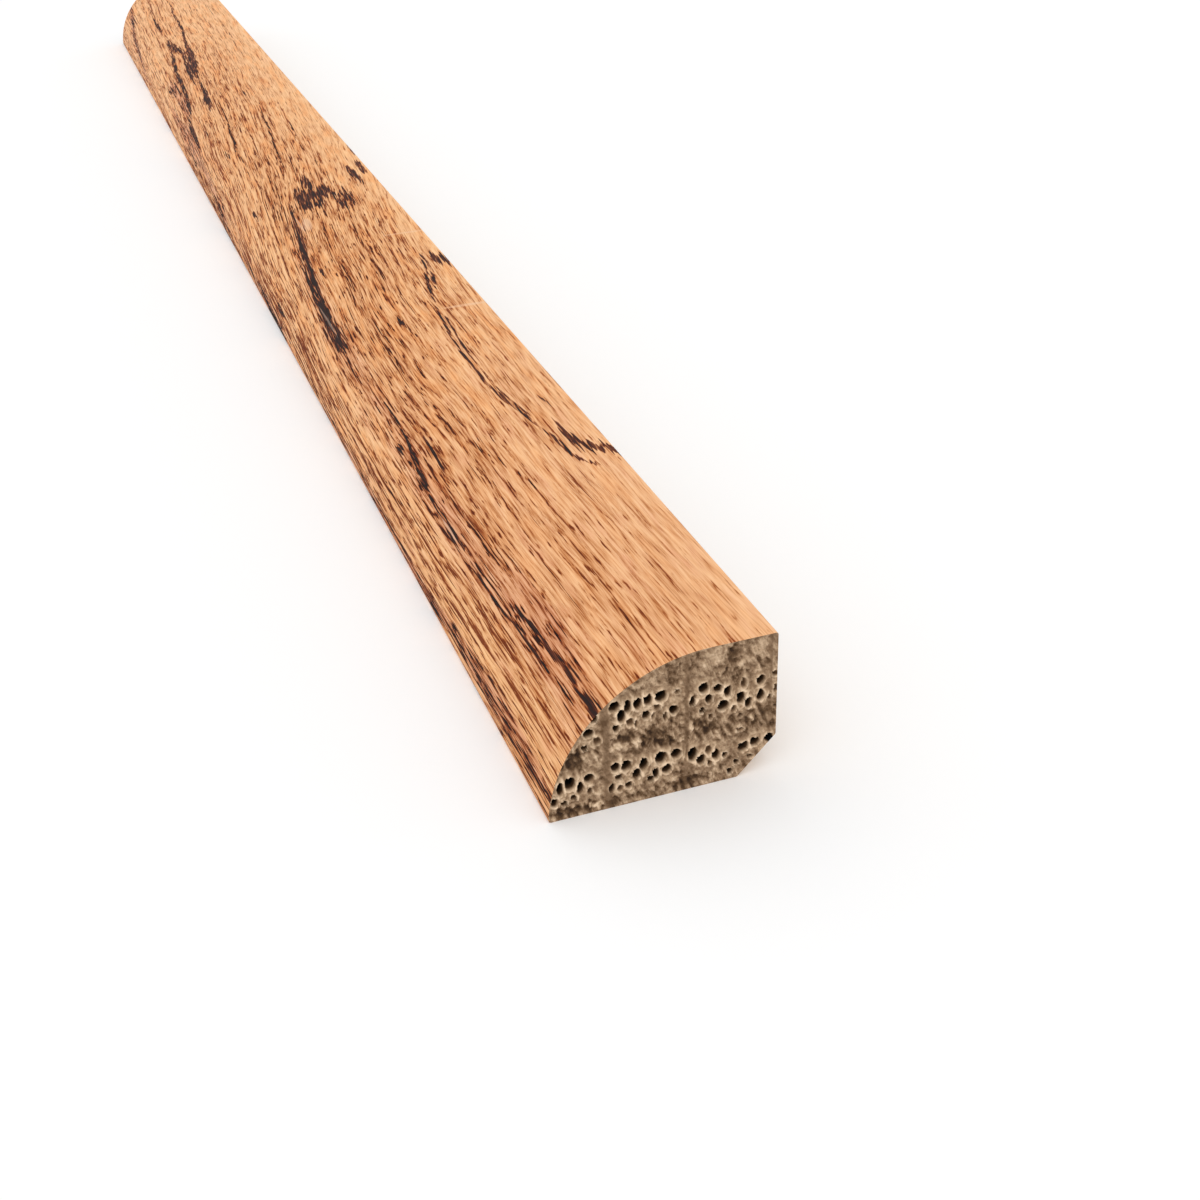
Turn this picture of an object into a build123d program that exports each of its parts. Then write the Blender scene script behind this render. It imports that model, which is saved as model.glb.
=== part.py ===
from build123d import *
import os

# Driving dimensions in millimetres
length = 304.8  # along the grain, square cut to square cut
width = 19.05  # face that lies on the floor, toe to wall
thickness = 12.7  # face that stands against the wall, and the height of the section
top_flat = 5.5  # level strip on top, from the wall face to where the round face starts
toe_land = 0.5  # upright strip at the toe, from the floor up to the round face
heel_chamfer = 3.3  # each leg of the 45 degree relief between the floor and wall faces
arris_radius = 0.2  # sanded easing of the four long corners

# The section stands on the floor plane, centred across its width.
# The toe is at -X, the wall face at +X, and the grain runs along Y.
toe_x = -width / 2
wall_x = width / 2


def shoe_section():
    """Outline of the moulding across the grain, as a face."""
    toe_top = (toe_x, toe_land)
    toe_foot = (toe_x, 0)
    heel_on_floor = (wall_x - heel_chamfer, 0)
    heel_on_wall = (wall_x, heel_chamfer)
    wall_top = (wall_x, thickness)
    crown = (wall_x - top_flat, thickness)
    eased_flats = FilletPolyline(
        toe_top, toe_foot, heel_on_floor, heel_on_wall, wall_top, crown, radius=arris_radius
    )
    round_face = TangentArc(crown, toe_top, tangent=(-1, 0))
    return make_face([eased_flats, round_face])


def shoe_moulding():
    """One length of stock, milled from a single strip of wood and cut square."""
    far_cut = Plane(origin=(0, length / 2, 0), x_dir=(1, 0, 0), z_dir=(0, -1, 0))
    return extrude(far_cut * shoe_section(), amount=length)


os.makedirs("parts", exist_ok=True)
export_step(shoe_moulding(), "parts/shoe_moulding.step")
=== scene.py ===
import math
import random

import bmesh
import bpy
from mathutils import Matrix, Vector, kdtree, noise


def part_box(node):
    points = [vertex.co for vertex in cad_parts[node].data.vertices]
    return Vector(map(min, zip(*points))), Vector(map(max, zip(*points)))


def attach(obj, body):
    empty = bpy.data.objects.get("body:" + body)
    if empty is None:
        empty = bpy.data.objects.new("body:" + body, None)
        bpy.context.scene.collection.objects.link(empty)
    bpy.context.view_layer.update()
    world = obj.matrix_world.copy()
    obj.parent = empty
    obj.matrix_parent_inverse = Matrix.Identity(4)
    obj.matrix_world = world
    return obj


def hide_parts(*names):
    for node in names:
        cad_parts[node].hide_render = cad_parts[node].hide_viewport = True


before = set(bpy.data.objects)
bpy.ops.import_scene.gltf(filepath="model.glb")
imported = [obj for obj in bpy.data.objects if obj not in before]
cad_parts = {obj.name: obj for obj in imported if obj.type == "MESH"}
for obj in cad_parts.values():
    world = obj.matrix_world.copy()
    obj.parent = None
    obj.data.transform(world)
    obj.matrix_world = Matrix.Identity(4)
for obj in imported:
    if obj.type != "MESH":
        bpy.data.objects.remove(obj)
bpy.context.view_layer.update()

MM = 0.001

# Section and length of the stock, in metres, from its solid and the sizes it was drawn with
low_corner, high_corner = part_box("shoe_moulding")
TOE_X, NEAR_Y, FLOOR_Z = low_corner
WALL_X, FAR_Y, TOP_Z = high_corner
LENGTH = FAR_Y - NEAR_Y
TOP_FLAT = 5.5 * MM
TOE_LAND = 0.5 * MM
HEEL_CHAMFER = 3.3 * MM
ARRIS_RADIUS = 0.2 * MM

# Round face: an arc that leaves the level top at the crown and meets the toe land
CROWN_X = WALL_X - TOP_FLAT
ROUND_RUN = CROWN_X - TOE_X
ROUND_RISE = TOP_Z - FLOOR_Z - TOE_LAND
ROUND_RADIUS = (ROUND_RUN ** 2 + ROUND_RISE ** 2) / (2 * ROUND_RISE)
ROUND_ANGLE = math.asin(ROUND_RUN / ROUND_RADIUS)
ROUND_CENTRE_Z = TOP_Z - ROUND_RADIUS
FACE_WIDTH = TOP_FLAT + ROUND_RADIUS * ROUND_ANGLE + TOE_LAND
WALL_WIDTH = TOP_Z - FLOOR_Z - HEEL_CHAMFER
HEEL_WIDTH = HEEL_CHAMFER * math.sqrt(2)

# Mesh fineness
ROUND_STEPS = 40
ARRIS_STEPS = 4
CUT_CELL = 0.095 * MM
LENGTH_STEPS = 36
MERGE_DISTANCE = 0.012 * MM

# Material slots of the stock
FINISHED, BARE, SAWN = range(3)

# Sawn ends: how far the wood between the vessels and the wood along the edge lie back, how far
# the rims stand out of it, and how deep the vessels are
CUT_SETBACK = 0.2 * MM
EDGE_SETBACK = 0.1 * MM
LEAST_SETBACK = 0.005 * MM
RIM_RISE = 0.17 * MM
OPEN_DEPTH = 1.3 * MM
SHALLOW_DEPTH = 0.35 * MM

# Share by which the near end's vessels are cut wider than measured, how far out, in half sizes,
# vessels and torn patches count, and a distance that stands for no vessel near
VESSEL_SIZE = 1.12
VESSEL_REACH = 2.6
PATCH_REACH = 1.6
NO_VESSEL = 9.0

# Which random draw places the vessels of the far end
FAR_END_DRAW = 12

# Heights that the bump of the fibres and of the torn end grain stand for
FIBRE_RELIEF = 0.03 * MM
TEAR_RELIEF = 0.1 * MM

# Distance between the knife marks of the milled faces, in mm
KNIFE_PITCH = 5.2

# How far the grain has moved down the face at each distance from the near end, both in mm, and
# the scale of its curve
GRAIN_DRIFT = [
    (0, 0.0), (40, 1.0), (70, 1.2), (100, 0.0), (150, -4.2), (200, -7.4), (250, -9.4), (305, -11.4),
]
DRIFT_LOW = -12.0
DRIFT_HIGH = 2.0

# Top of the scales of a stroke's curves: distance down the face and half width in mm, and strength
STROKE_SCALES = (FACE_WIDTH / MM, 2.0, 1.25)

# Middle darkness of the finished face, share of short dark vessels and gap between the dashes, by
# the distance down the face in mm, and contrast of the fibres by the distance along it
FACE_DEPTH = [
    (0.0, 0.09), (3.0, 0.13), (8.0, 0.165), (13.0, 0.185), (16.5, 0.19), (19.5, 0.165), (22.0, 0.145),
    (24.5, 0.17), (26.0, 0.27),
]
FACE_SPOTS = [(0.0, 0.1), (18.0, 0.4), (22.0, 0.6)]
FACE_GAP = [(1.0, 0.11), (12.0, 0.065), (19.0, 0.06), (22.0, 0.04)]
FACE_CONTRAST = [(15.0, 1.42), (90.0, 1.87), (140.0, 1.87), (210.0, 1.68)]

# Wood colours: the fibre's darkness, or the tone on the sawn ends, then the screen colour
FINISHED_TINTS = [
    (0.0, 253, 207, 160), (0.06, 245, 191, 142), (0.17, 228, 168, 119), (0.31, 207, 144, 95),
    (0.47, 181, 112, 63), (0.69, 147, 75, 35), (0.95, 104, 43, 17), (1.3, 60, 28, 17), (1.8, 34, 22, 19),
]
BARE_TINTS = [
    (0.0, 232, 200, 158), (0.2, 214, 178, 134), (0.5, 182, 142, 100), (0.9, 128, 94, 62), (1.6, 84, 60, 40),
]
SAWN_TINTS = [
    (-1.3, 58, 39, 24), (-0.6, 100, 74, 50), (0.0, 156, 127, 99), (0.5, 204, 174, 142), (1.1, 242, 213, 180),
]

# Camera: fitted to the photograph's outline, for a square picture
CAMERA_AT = Vector((-37.97, -248.39, 79.09)) * MM
CAMERA_LOOKS = Vector((0.28092, 0.81310, -0.50986))
CAMERA_UP = Vector((0.19779, 0.47080, 0.85978))
LENS = 49.425
SENSOR_WIDTH = 36
NEAREST_SEEN = 0.01

# Floor, in metres: how far it reaches from the middle, and how far it lies under the stock
FLOOR_REACH = 3.0
FLOOR_GAP = 0.02 * MM

# Light: strength of the even surroundings, and a wide main lamp above left and a weak one behind,
# as name, place, angle of softness and power
WORLD_LIGHT = 0.785
LAMPS = [("main_lamp", (-0.12, -0.5, 0.85), 50, 0.72), ("back_lamp", (-0.4, 0.8, 0.8), 60, 0.25)]

# Open vessels of the near end, in mm: across, up, half width, half height
OPEN_VESSELS = [
    (-3.90, 9.28, 0.33, 0.38), (-2.85, 9.02, 0.23, 0.45), (-2.02, 9.10, 0.26, 0.41),
    (-1.19, 9.22, 0.27, 0.37), (-0.15, 9.32, 0.38, 0.40), (-3.37, 8.30, 0.26, 0.46),
    (-3.80, 7.32, 0.20, 0.28), (-1.37, 7.88, 0.25, 0.31), (-5.60, 8.62, 0.24, 0.28),
    (-6.04, 7.42, 0.33, 0.31), (-6.38, 6.17, 0.19, 0.21), (-8.48, 2.85, 0.22, 0.45),
    (-7.65, 3.20, 0.33, 0.48), (-6.86, 2.55, 0.22, 0.48), (-6.10, 3.28, 0.31, 0.34),
    (-8.98, 1.75, 0.20, 0.33), (-8.19, 1.43, 0.19, 0.20), (-7.46, 1.80, 0.20, 0.18),
    (-3.96, 3.74, 0.28, 0.33), (-3.04, 3.62, 0.32, 0.38), (-1.62, 3.36, 0.28, 0.49),
    (-0.20, 3.62, 0.38, 0.43), (-3.67, 2.72, 0.25, 0.24), (-2.23, 2.58, 0.26, 0.40),
    (-4.33, 1.80, 0.20, 0.34), (-2.87, 1.76, 0.20, 0.26), (-1.07, 1.80, 0.22, 0.24),
    (-0.62, 2.24, 0.17, 0.40), (0.29, 2.40, 0.32, 0.32), (0.92, 7.77, 0.28, 0.32), (2.42, 8.10, 0.22, 0.30),
    (3.35, 9.16, 0.33, 0.37), (4.58, 8.82, 0.25, 0.31), (3.82, 8.02, 0.22, 0.33), (5.38, 8.38, 0.24, 0.40),
    (3.25, 7.08, 0.18, 0.20), (5.02, 7.14, 0.37, 0.38), (6.48, 7.44, 0.28, 0.42), (7.14, 6.92, 0.24, 0.40),
    (8.17, 8.70, 0.30, 0.36), (8.17, 7.30, 0.26, 0.39), (1.08, 3.62, 0.32, 0.36), (2.44, 3.20, 0.32, 0.51),
    (3.17, 2.50, 0.28, 0.38), (4.42, 2.62, 0.26, 0.37), (5.17, 2.44, 0.18, 0.22), (6.77, 2.78, 0.34, 0.36),
    (7.75, 2.98, 0.32, 0.32), (8.92, 3.12, 0.29, 0.33), (6.19, 1.44, 0.18, 0.18), (5.61, 0.70, 0.18, 0.24),
]

# Vessels that are partly filled or torn over, in the same measures
SHALLOW_VESSELS = [
    (-2.67, 7.60, 0.25, 0.30), (-2.17, 7.32, 0.12, 0.32), (-0.46, 8.38, 0.21, 0.22),
    (-0.80, 7.67, 0.12, 0.24), (0.20, 7.35, 0.15, 0.34), (-5.33, 6.53, 0.25, 0.26),
    (-6.07, 2.06, 0.17, 0.30), (-3.60, 1.64, 0.20, 0.28), (1.20, 9.38, 0.18, 0.18),
    (2.52, 8.45, 0.20, 0.22), (5.88, 6.60, 0.19, 0.28), (6.73, 8.76, 0.20, 0.40), (8.93, 6.95, 0.16, 0.23),
    (9.33, 9.05, 0.20, 0.24), (9.42, 7.68, 0.14, 0.30), (3.96, 6.34, 0.17, 0.22), (6.46, 5.76, 0.20, 0.15),
    (3.80, 3.24, 0.22, 0.35), (7.38, 1.63, 0.22, 0.15), (3.92, 1.90, 0.18, 0.20), (6.46, 4.47, 0.26, 0.14),
]

# Torn hollows and pale plateaus of the near end: across, up, half width, half height, tone. The tone follows
# the height: hollows are painted darker and plateaus paler, partly as the torn wood's own colour and partly
# as painted shade.
CUT_PATCHES = [
    (-7.3, 5.1, 0.85, 1.0, -1.0), (-3.1, 6.2, 0.9, 0.4, -0.8), (-2.4, 4.8, 0.8, 0.5, -0.5),
    (-0.6, 6.0, 1.3, 0.7, -0.9), (0.2, 4.9, 0.9, 0.4, -0.4), (3.4, 6.2, 0.9, 0.6, -0.9),
    (3.5, 5.2, 1.0, 0.45, -0.8), (5.9, 5.1, 1.0, 0.8, -0.5), (7.9, 5.3, 1.2, 0.9, -0.35),
    (9.2, 5.0, 0.4, 0.7, -0.7), (0.9, 11.1, 0.35, 1.3, -0.6), (2.45, 11.0, 0.28, 1.5, -0.45),
    (5.85, 11.5, 0.4, 1.3, -0.75), (5.9, 9.7, 0.8, 0.5, -0.55), (-2.6, 10.5, 0.4, 0.5, -0.4),
    (8.6, 10.3, 0.5, 0.4, -0.35), (-7.6, 0.6, 1.7, 0.4, -0.9), (-2.0, 0.6, 1.2, 0.4, -0.3),
    (2.1, 0.75, 1.3, 0.6, -0.9), (6.3, 4.0, 0.9, 0.35, -0.5), (-4.3, 0.45, 0.5, 0.45, -0.4),
    (6.9, 0.9, 0.4, 0.4, -0.4), (4.0, 11.5, 0.9, 1.0, 0.2), (8.2, 11.5, 1.0, 0.7, 0.2),
    (-0.9, 11.2, 0.6, 0.8, 0.15), (4.3, 0.8, 0.8, 0.4, 0.45), (-3.8, 5.6, 0.45, 0.4, 0.95),
    (-2.2, 5.7, 0.35, 0.4, 0.85), (2.8, 5.3, 0.5, 0.3, 1.0), (4.6, 4.3, 0.4, 0.3, 0.6),
    (6.3, 4.8, 0.5, 0.25, 0.7), (7.5, 5.5, 0.35, 0.3, 0.7), (-5.5, 0.6, 0.42, 0.22, 1.3),
    (1.0, 1.2, 0.4, 0.3, 0.4),
]

# Rays of the near end: across at the floor, across at the top, half width
RAYS = [(-4.55, -4.75, 0.30), (1.85, 2.05, 0.17), (8.9, 9.0, 0.12)]

# Dark mineral strokes on the finished face, in mm. Each point is the distance from the near
# end, the distance down the face from the wall edge, the half width and the strength.
BLACK_STROKES = {
    "arch_floor": [
        (31.5, 1.4, 0.24, 0.8), (33.0, 2.7, 0.24, 0.91), (35.5, 4.1, 0.2, 1.03), (39.0, 4.5, 0.2, 0.91),
        (43.0, 5.1, 0.2, 0.91), (47.0, 5.7, 0.2, 1.03), (51.0, 6.3, 0.2, 1.14), (55.0, 6.7, 0.16, 1.03),
        (62.0, 6.8, 0.15, 1.15), (69.0, 6.5, 0.15, 1.15), (75.0, 6.1, 0.14, 1.0), (80.0, 5.6, 0.12, 0.57),
    ],
    "arch_inner": [
        (45, 5.12, 0.12, 0.8), (49, 5.5, 0.13, 1.1), (53, 6.02, 0.12, 1.0), (58, 6.2, 0.1, 0.75),
        (64, 6.15, 0.11, 0.95), (70, 5.9, 0.11, 1.0), (76, 5.5, 0.1, 0.75),
    ],
    "arch_rise": [
        (80, 5.5, 0.15, 0.6), (84, 4.9, 0.24, 0.98), (88, 4.2, 0.21, 0.98), (92, 3.5, 0.19, 0.9),
        (98, 2.4, 0.2, 0.9),
    ],
    "arch_rise_inner": [
        (84, 4.3, 0.18, 0.8), (88, 3.5, 0.23, 0.94), (92, 2.9, 0.19, 0.9), (97, 2.6, 0.15, 0.7),
    ],
    "near_root": [
        (-3, 15.9, 0.3, 1.15), (3, 15.9, 0.28, 1.15), (8, 16.0, 0.24, 1.1), (12, 16.2, 0.2, 1.0),
        (16, 16.5, 0.17, 0.95), (20, 17.0, 0.14, 0.6),
    ],
    "near_root_upper": [
        (-3, 15.2, 0.12, 0.8), (2, 15.3, 0.13, 0.9), (6, 15.5, 0.12, 0.8), (9, 15.6, 0.1, 0.5),
    ],
    "near_root_lower": [
        (8, 17.2, 0.1, 0.8), (13, 17.4, 0.15, 0.95), (17, 17.5, 0.18, 0.9), (21, 17.9, 0.15, 0.9),
        (28, 18.1, 0.15, 0.8), (30, 18.1, 0.1, 0.5),
    ],
    "near_pair_upper": [(31, 17.9, 0.1, 0.7), (34, 17.9, 0.12, 1.0), (39, 17.8, 0.1, 0.7)],
    "near_pair_lower": [(31, 18.3, 0.1, 0.7), (34, 18.4, 0.12, 1.0), (38, 18.3, 0.1, 0.8)],
    "near_middle": [
        (39, 18.2, 0.19, 0.74), (44, 17.9, 0.25, 0.85), (48, 17.6, 0.25, 0.9), (53, 17.1, 0.16, 0.95),
        (57, 16.8, 0.11, 1.15), (62, 16.7, 0.09, 1.15), (66, 17.0, 0.06, 0.63),
    ],
    "near_fork": [
        (42, 15.4, 0.13, 0.55), (46, 15.3, 0.16, 0.99), (50, 15.2, 0.13, 0.88), (54, 15.2, 0.13, 0.55),
    ],
    "heavy_upper": [
        (81, 17.5, 0.41, 0.91), (85, 17.3, 0.54, 1.14), (90, 17.2, 0.54, 1.08), (95, 17.0, 0.41, 1.14),
        (100, 16.5, 0.41, 1.19), (105, 16.0, 0.41, 1.19), (110, 15.6, 0.41, 1.14), (115, 15.0, 0.54, 1.19),
        (120, 14.4, 0.48, 1.08), (126, 13.7, 0.34, 1.03), (131, 13.2, 0.2, 0.68),
    ],
    "heavy_lower": [
        (82, 17.9, 0.24, 0.76), (87, 18.0, 0.36, 1.09), (92, 17.9, 0.3, 1.09), (97, 17.5, 0.24, 1.09),
        (103, 17.0, 0.24, 1.09), (110, 16.4, 0.18, 0.98), (114, 16.0, 0.12, 0.54),
    ],
    "far_entry": [
        (193, 15.2, 0.37, 0.68), (198, 14.8, 0.48, 1.12), (204, 14.4, 0.43, 1.24), (209, 14.1, 0.3, 1.07),
        (216, 13.8, 0.24, 0.79), (222, 13.6, 0.24, 0.79),
    ],
    "far_upper": [
        (216, 14.0, 0.37, 0.79), (223, 13.5, 0.74, 1.12), (229, 12.9, 0.86, 1.24), (235, 12.5, 0.61, 1.24),
        (240, 12.2, 0.37, 1.12), (247, 11.7, 0.3, 1.12), (253, 11.1, 0.3, 1.12), (262, 10.8, 0.24, 1.02),
        (271, 10.6, 0.24, 0.96), (276, 10.0, 0.24, 0.79), (286, 9.9, 0.24, 0.56),
    ],
    "far_lower": [
        (212, 14.9, 0.18, 0.56), (220, 14.7, 0.37, 1.12), (226, 14.4, 0.48, 1.24), (232, 14.0, 0.37, 1.02),
        (238, 13.5, 0.48, 0.91), (244, 14.2, 0.61, 1.02), (250, 14.8, 0.48, 1.12), (256, 14.9, 0.24, 0.68),
    ],
    "far_middle": [
        (203, 18.9, 0.37, 0.91), (209, 18.3, 0.48, 1.12), (215, 17.6, 0.43, 1.12), (222, 17.1, 0.43, 1.24),
        (230, 16.8, 0.43, 1.19), (237, 16.1, 0.43, 1.12), (243, 15.5, 0.37, 0.91), (248, 15.2, 0.18, 0.56),
    ],
    "toe_end_line": [
        (262, 23.7, 0.3, 0.55), (270, 22.6, 0.35, 0.7), (278, 21.9, 0.4, 0.75), (286, 21.0, 0.4, 0.8),
        (292, 19.6, 0.5, 0.85), (300, 18.4, 0.5, 0.75), (306, 17.6, 0.4, 0.6),
    ],
    "far_thin": [
        (263, 14.7, 0.17, 0.65), (271, 14.8, 0.29, 1.08), (279, 14.4, 0.23, 0.76), (290, 14.0, 0.34, 0.54),
    ],
    "toe_ridge": [
        (189, 20.8, 0.35, 0.84), (194, 20.5, 0.43, 1.19), (199, 20.2, 0.51, 1.19), (204, 19.8, 0.35, 0.95),
        (207, 19.4, 0.26, 0.59),
    ],
}

# Softer purple-brown staining, in the same measures
BROWN_STROKES = {
    "toe_near": [
        (-2, 23.8, 0.5, 0.4), (9, 23.6, 0.7, 0.8), (15, 24.0, 0.9, 1.0), (22, 24.1, 0.6, 0.8),
        (28, 24.3, 0.5, 0.8), (34, 25.1, 0.5, 1.1), (42, 25.3, 0.5, 1.1), (50, 25.3, 0.4, 0.7),
        (58, 25.4, 0.4, 0.9), (66, 25.4, 0.4, 0.7), (74, 25.4, 0.45, 1.0), (86, 25.4, 0.35, 0.5),
    ],
    "toe_middle": [
        (104, 25.4, 0.4, 0.46), (113, 25.3, 0.5, 1.15), (122, 25.1, 0.6, 1.15), (130, 25.0, 0.4, 0.8),
        (138, 24.7, 0.3, 0.92), (147, 23.9, 0.2, 0.57),
    ],
    "toe_far": [
        (154, 24.6, 0.6, 0.57), (161, 24.0, 1.0, 0.92), (168, 23.5, 0.6, 0.8), (176, 22.6, 0.4, 0.92),
        (184, 22.6, 0.7, 0.69), (192, 22.1, 1.3, 0.92), (200, 21.9, 1.4, 0.92), (210, 22.1, 0.6, 0.92),
        (226, 21.8, 0.3, 0.46),
    ],
    "far_shadow": [
        (204, 19.3, 0.5, 0.69), (211, 19.0, 0.8, 1.03), (220, 18.9, 0.8, 0.8), (228, 19.2, 0.8, 0.92),
        (233, 19.6, 0.5, 0.46),
    ],
    "toe_end": [
        (257, 24.3, 0.22, 0.63), (264, 23.5, 0.39, 1.01), (270, 22.6, 0.44, 1.13), (278, 21.9, 0.44, 1.01),
        (286, 21.0, 0.55, 1.01), (292, 19.6, 0.77, 1.13), (300, 18.4, 0.66, 0.88), (307, 17.5, 0.55, 0.63),
    ],
    "near_cloud": [
        (-2, 16.2, 1.0, 0.5), (10, 16.3, 1.3, 0.6), (25, 17.0, 1.2, 0.5), (45, 17.8, 1.0, 0.55),
        (65, 17.2, 0.8, 0.3), (85, 17.4, 1.2, 0.5), (105, 16.6, 1.1, 0.5), (128, 13.2, 1.0, 0.3),
    ],
    "near_upper_cloud": [
        (5, 14.8, 0.4, 0.4), (12, 14.8, 0.6, 0.7), (19, 15.1, 0.6, 0.7), (26, 15.2, 0.3, 0.3),
    ],
}

# Thin red-brown grain lines, in the same measures
GRAIN_LINES = {
    "middle_upper": [
        (150, 10.3, 0.2, 0.94), (158, 9.8, 0.2, 1.22), (168, 8.9, 0.2, 1.08), (179, 8.2, 0.15, 0.94),
        (185, 7.7, 0.15, 0.68),
    ],
    "middle_lower": [
        (148, 16.1, 0.15, 0.68), (160, 15.5, 0.2, 1.08), (172, 14.8, 0.2, 1.08), (184, 13.9, 0.15, 0.94),
        (196, 13.2, 0.15, 0.68),
    ],
    "near_short": [(3, 9.5, 0.15, 0.5), (7, 9.7, 0.25, 1.0), (11, 9.8, 0.15, 0.6)],
    "near_curl": [
        (28, 9.0, 0.2, 0.7), (33, 9.4, 0.15, 0.6), (39, 10.4, 0.12, 0.6), (43, 11.3, 0.12, 0.7),
        (46, 11.9, 0.2, 1.0),
    ],
    "near_toe": [(46, 21.0, 0.3, 0.6), (51, 21.7, 0.25, 0.8), (56, 21.9, 0.15, 0.5)],
    "far_top": [(228, 7.2, 0.15, 0.65), (238, 7.1, 0.2, 0.91), (248, 6.9, 0.15, 0.52)],
    "far_wall_edge": [
        (219, 4.1, 0.15, 0.65), (232, 3.9, 0.2, 0.91), (250, 3.5, 0.2, 0.91), (272, 3.2, 0.15, 0.52),
    ],
    "middle_high": [
        (136, 5.8, 0.1, 0.4), (146, 6.4, 0.15, 0.7), (158, 6.3, 0.15, 0.6), (168, 5.6, 0.1, 0.5),
    ],
}

# Dark clusters: distance from the near end, down the face, half length, half width, strength
DARK_PATCHES = [
    (36.2, 0.4, 1.2, 0.7, 1.3), (36.9, 1.7, 1.1, 0.8, 1.2), (38.0, 2.8, 1.6, 0.55, 1.3),
    (40.8, 3.3, 2.6, 0.34, 1.2), (94.5, 0.3, 2.2, 0.5, 1.3), (95.0, 1.4, 2.2, 0.55, 1.3),
    (137.8, 0.9, 4.4, 0.45, 1.2), (135.5, 2.6, 4.6, 0.6, 1.2), (148.0, 0.1, 3.6, 0.25, 1.0),
    (125.5, 5.6, 3.6, 0.8, 0.9), (123.5, 7.0, 4.6, 0.7, 1.0), (129.5, 8.0, 3.0, 1.0, 1.15),
    (127.6, 9.5, 4.4, 0.8, 1.15), (135.5, 9.4, 4.2, 0.6, 1.15), (129.8, 11.1, 5.6, 1.0, 1.2),
    (129.0, 13.2, 2.4, 0.4, 0.8), (140.0, 18.4, 1.4, 0.35, 1.3), (55.6, 18.1, 1.2, 0.4, 1.2),
    (104.0, 14.6, 1.8, 0.22, 1.0), (106.8, 18.3, 3.0, 0.18, 1.0), (112.0, 23.1, 3.4, 0.45, 0.8),
    (202.0, 15.2, 2.6, 0.5, 0.9), (225.0, 18.4, 4.4, 0.3, 0.9), (226.0, 19.5, 4.8, 0.3, 0.9),
    (230.0, 20.3, 3.0, 0.3, 0.9), (77.5, 10.2, 1.3, 0.3, 0.9), (49.0, 2.6, 0.7, 0.25, 0.9),
    (170.0, 16.9, 1.6, 0.3, 1.0), (187.0, 18.0, 3.0, 0.2, 0.9), (192.0, 8.7, 1.8, 0.3, 0.8),
]

# Broad areas where all the fibres run darker, in the same measures
SHADED_AREAS = [
    (85.0, 10.0, 45.0, 5.0, 0.2), (125.0, 9.0, 35.0, 7.0, 0.25), (8.0, 23.3, 22.0, 1.6, 0.2),
    (176.0, 23.0, 24.0, 2.2, 0.2), (232.0, 20.0, 26.0, 2.0, 0.15), (85.0, 21.3, 50.0, 2.6, 0.08),
    (60.0, 6.0, 18.0, 2.6, 0.15), (185.0, 9.0, 50.0, 7.0, 0.1),
]

# Pale rubbed spots and cross-grain scratches, and thin painted highlights along the dark strokes: along,
# down, half length, half width, strength
PALE_MARKS = [
    (120.8, 12.7, 2.4, 0.55, 0.6), (77.8, 2.0, 0.35, 3.2, 0.45), (106.2, 2.2, 0.3, 3.0, 0.35),
    (36.0, 18.15, 2.6, 0.10, 0.8), (122.5, 13.5, 3.2, 0.12, 0.6), (92.0, 17.35, 5.0, 0.12, 0.5),
]


def feed(tree, socket, value):
    """Link an output, or set a plain value, on a socket."""
    if isinstance(value, bpy.types.NodeSocket):
        tree.links.new(value, socket)
    else:
        socket.default_value = value


def calc(tree, operation, *values, clamp=False):
    """Math node."""
    node = tree.nodes.new("ShaderNodeMath")
    node.operation = operation
    node.use_clamp = clamp
    for socket, value in zip(node.inputs, values):
        feed(tree, socket, value)
    return node.outputs[0]


def chained(tree, operation, values):
    """The same math over several values in turn."""
    result = values[0]
    for value in values[1:]:
        result = calc(tree, operation, result, value)
    return result


def plus(tree, *values):
    """Sum of several values."""
    return chained(tree, "ADD", values)


def times(tree, *values):
    """Product of several values."""
    return chained(tree, "MULTIPLY", values)


def highest(tree, *values):
    """Highest of several values."""
    return chained(tree, "MAXIMUM", values)


def less(tree, value, taken):
    """A value with another taken off."""
    return calc(tree, "SUBTRACT", value, taken)


def over(tree, value, divisor):
    """A value divided by another."""
    return calc(tree, "DIVIDE", value, divisor)


def rescale(tree, value, start, end, low=0.0, high=1.0, smooth=False):
    """Map a value from one range to another and hold it at the ends."""
    node = tree.nodes.new("ShaderNodeMapRange")
    node.interpolation_type = "SMOOTHSTEP" if smooth else "LINEAR"
    settings = {"Value": value, "From Min": start, "From Max": end, "To Min": low, "To Max": high}
    for name, item in settings.items():
        feed(tree, node.inputs[name], item)
    return node.outputs["Result"]


def blend(tree, share, base, laid_on, mode="MIX"):
    """Lay a share of one colour on another."""
    node = tree.nodes.new("ShaderNodeMix")
    node.data_type = "RGBA"
    node.blend_type = mode
    feed(tree, node.inputs[0], share)
    feed(tree, node.inputs[6], base)
    feed(tree, node.inputs[7], laid_on)
    return node.outputs[2]


def joined(tree, x=0.0, y=0.0, z=0.0):
    """Three values as one vector."""
    node = tree.nodes.new("ShaderNodeCombineXYZ")
    for socket, value in zip(node.inputs, (x, y, z)):
        feed(tree, socket, value)
    return node.outputs[0]


def parted(tree, vector):
    """The three values of a vector."""
    node = tree.nodes.new("ShaderNodeSeparateXYZ")
    tree.links.new(vector, node.inputs[0])
    return node.outputs


def streaks(tree, along, across, length, thickness, layer=0.0, detail=2.0, roughness=0.5):
    """Noise from 0 to 1 in cells of one length and thickness, in mm. Each layer is another pattern."""
    node = tree.nodes.new("ShaderNodeTexNoise")
    node.inputs["Scale"].default_value = 1.0
    node.inputs["Detail"].default_value = detail
    node.inputs["Roughness"].default_value = roughness
    cell = joined(tree, over(tree, along, length), over(tree, across, thickness), layer)
    tree.links.new(cell, node.inputs["Vector"])
    return node.outputs["Fac"]


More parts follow.
